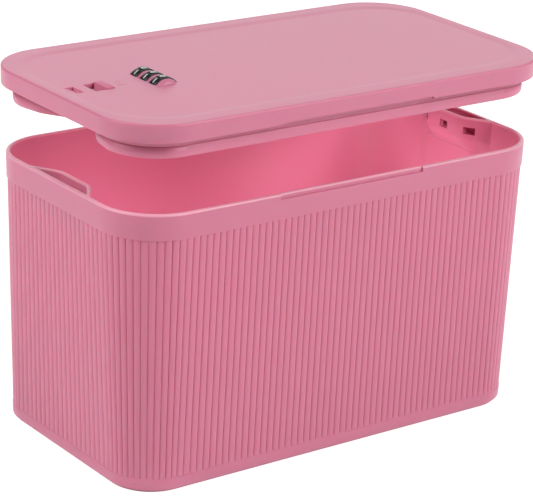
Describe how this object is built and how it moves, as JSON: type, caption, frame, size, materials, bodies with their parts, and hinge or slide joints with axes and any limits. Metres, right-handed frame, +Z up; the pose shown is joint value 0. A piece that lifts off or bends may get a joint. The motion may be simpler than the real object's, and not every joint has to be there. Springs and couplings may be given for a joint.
{
  "type": "medication lock box",
  "caption": "Ribbed plastic tub with a lift-off lid that holds a slider latch worked by numbered dials, to keep medicines locked away.",
  "frame": {"origin": "centre of the tub's footprint on the surface that it stands on", "axes": "+X along the box, from the lock end to the fixed tongues; +Y from the front long side to the back one; +Z up"},
  "size_m": [0.326, 0.181, 0.2403],
  "materials": {
    "pink_plastic": "satin moulded",
    "black_plastic": "satin",
    "white_plastic": "satin moulded",
    "steel": "plated"
  },
  "bodies": {
    "tub": {"tub": "pink_plastic"},
    "lid": {"lid": "pink_plastic", "lock_cover": "pink_plastic", "dial_spindle": "steel", "spindle_clip": "steel", "reset_spring": "steel", "dial_click_spring": "steel", "bolt_click_spring": "steel", "click_spring_rivet": "steel", "cover_screw_1": "steel", "cover_screw_2": "steel", "cover_screw_3": "steel", "cover_screw_4": "steel", "click_spring_screw_1": "steel", "click_spring_screw_2": "steel"},
    "latch": {"latch_bolt": "pink_plastic", "slider_knob": "pink_plastic", "knob_screw": "steel"},
    "reset": {"reset_lever": "white_plastic"},
    "dial_1": {"number_dial_1": "black_plastic"},
    "sleeve_1": {"code_sleeve_1": "white_plastic"},
    "dial_2": {"number_dial_2": "black_plastic"},
    "sleeve_2": {"code_sleeve_2": "white_plastic"},
    "dial_3": {"number_dial_3": "black_plastic"},
    "sleeve_3": {"code_sleeve_3": "white_plastic"}
  },
  "joints": [
    {"name": "lid_lift", "type": "slide", "parent": "tub", "child": "lid", "axis": [0, 0, 1], "range_m": [-0.0482, 0]},
    {"name": "bolt_slide", "type": "slide", "parent": "lid", "child": "latch", "axis": [-1, 0, 0], "range_m": [0, 0.0075], "deforming": ["bolt_click_spring"]},
    {"name": "reset_press", "type": "slide", "parent": "lid", "child": "reset", "axis": [0, -1, 0], "range_m": [0, 0.0018], "stiffness_N_per_m": 400, "springref_m": -0.0005, "deforming": ["reset_spring"]},
    {"name": "dial_1_turn", "type": "hinge", "parent": "lid", "child": "dial_1", "pos_m": [-0.091, 0.0104, 0.23035], "axis": [0, 1, 0], "continuous": true, "deforming": ["dial_click_spring"]},
    {"name": "sleeve_1_shift", "type": "slide", "parent": "dial_1", "child": "sleeve_1", "axis": [0, -1, 0], "range_m": [0, 0.0018]},
    {"name": "dial_2_turn", "type": "hinge", "parent": "lid", "child": "dial_2", "pos_m": [-0.091, 0, 0.23035], "axis": [0, 1, 0], "continuous": true, "deforming": ["dial_click_spring"]},
    {"name": "sleeve_2_shift", "type": "slide", "parent": "dial_2", "child": "sleeve_2", "axis": [0, -1, 0], "range_m": [0, 0.0018]},
    {"name": "dial_3_turn", "type": "hinge", "parent": "lid", "child": "dial_3", "pos_m": [-0.091, -0.0104, 0.23035], "axis": [0, 1, 0], "continuous": true, "deforming": ["dial_click_spring"]},
    {"name": "sleeve_3_shift", "type": "slide", "parent": "dial_3", "child": "sleeve_3", "axis": [0, -1, 0], "range_m": [0, 0.0018]}
  ],
  "couplings": [
    {"joint": "sleeve_1_shift", "follows": "reset_press", "ratio": 1},
    {"joint": "sleeve_2_shift", "follows": "reset_press", "ratio": 1},
    {"joint": "sleeve_3_shift", "follows": "reset_press", "ratio": 1}
  ]
}
